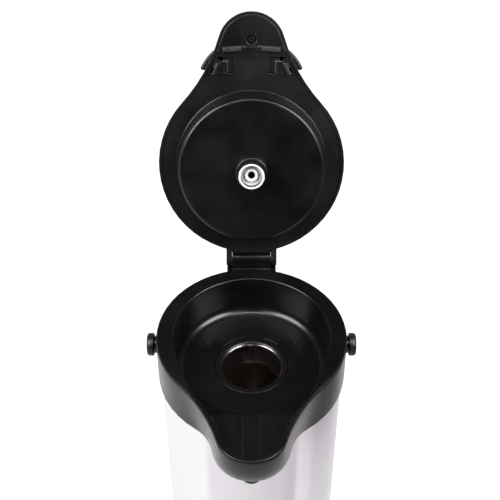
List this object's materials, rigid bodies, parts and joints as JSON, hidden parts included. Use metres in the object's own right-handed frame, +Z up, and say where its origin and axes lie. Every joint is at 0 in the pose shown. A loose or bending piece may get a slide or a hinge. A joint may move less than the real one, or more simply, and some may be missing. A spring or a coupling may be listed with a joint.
{
  "type": "airpot",
  "caption": "Tall insulated pump pot with a beaked black collar, a swung-open teardrop lid with pump plug, a steel casing and a hanging bail handle.",
  "frame": {"origin": "centre of the base pad's underside, on the table", "axes": "+Z up, -Y towards the beak's tip, +Y towards the lid's hinge, +X to the right seen from the beak's side"},
  "size_m": [0.178, 0.3203, 0.5527],
  "materials": {
    "plastic_black": "satin",
    "rubber_black": "matte",
    "gasket_black": "satin",
    "casing_steel": "brushed",
    "liner_steel": "satin",
    "pin_steel": "satin",
    "screw_black": "satin",
    "spigot_white": "gloss",
    "silicone": "matte",
    "foam": "matte"
  },
  "bodies": {
    "pot": {"base_pad": "rubber_black", "base_cup": "plastic_black", "outer_casing": "casing_steel", "inner_liner": "liner_steel", "liner_support": "rubber_black", "insulation_sleeve": "foam", "shoulder_ring": "plastic_black", "neck_gasket": "gasket_black", "collar": "plastic_black", "collar_screws": "screw_black", "outlet_nozzle": "plastic_black", "outlet_pipe": "silicone", "pickup_tube": "liner_steel", "tube_grommet": "silicone", "hinge_pin": "pin_steel", "handle_pivots": "pin_steel"},
    "lid": {"lid_cover": "plastic_black", "lid_base": "plastic_black", "nose_plate": "plastic_black", "nose_screw": "screw_black", "latch_spring_left": "pin_steel", "latch_spring_right": "pin_steel", "pump_plug": "plastic_black", "plug_screws": "pin_steel", "spigot_holder": "plastic_black", "air_spigot": "spigot_white", "spigot_seal": "silicone", "check_valve": "silicone", "bellows": "rubber_black", "return_spring": "pin_steel"},
    "button": {"pump_button": "plastic_black"},
    "latch_left": {"latch_left": "plastic_black"},
    "latch_right": {"latch_right": "plastic_black"},
    "handle": {"handle_bail": "plastic_black", "handle_grip": "rubber_black"}
  },
  "joints": [
    {"name": "lid_hinge", "type": "hinge", "parent": "pot", "child": "lid", "pos_m": [0, 0.08775, 0.35035], "axis": [1, 0, 0], "range_deg": [0, 113.5]},
    {"name": "button_press", "type": "slide", "parent": "lid", "child": "button", "axis": [0, -0.9171, 0.3987], "range_m": [0, 0.02], "stiffness_N_per_m": 300, "springref_m": -0.01, "deforming": ["bellows", "return_spring"]},
    {"name": "latch_left_slide", "type": "slide", "parent": "lid", "child": "latch_left", "axis": [1, 0, 0], "range_m": [0, 0.0032], "stiffness_N_per_m": 400, "springref_m": -0.002, "deforming": ["latch_spring_left"]},
    {"name": "latch_right_slide", "type": "slide", "parent": "lid", "child": "latch_right", "axis": [-1, 0, 0], "range_m": [0, 0.0032], "stiffness_N_per_m": 400, "springref_m": -0.002, "deforming": ["latch_spring_right"]},
    {"name": "handle_swing", "type": "hinge", "parent": "pot", "child": "handle", "pos_m": [0, 0, 0.3325], "axis": [1, 0, 0], "range_deg": [0, 50]}
  ]
}
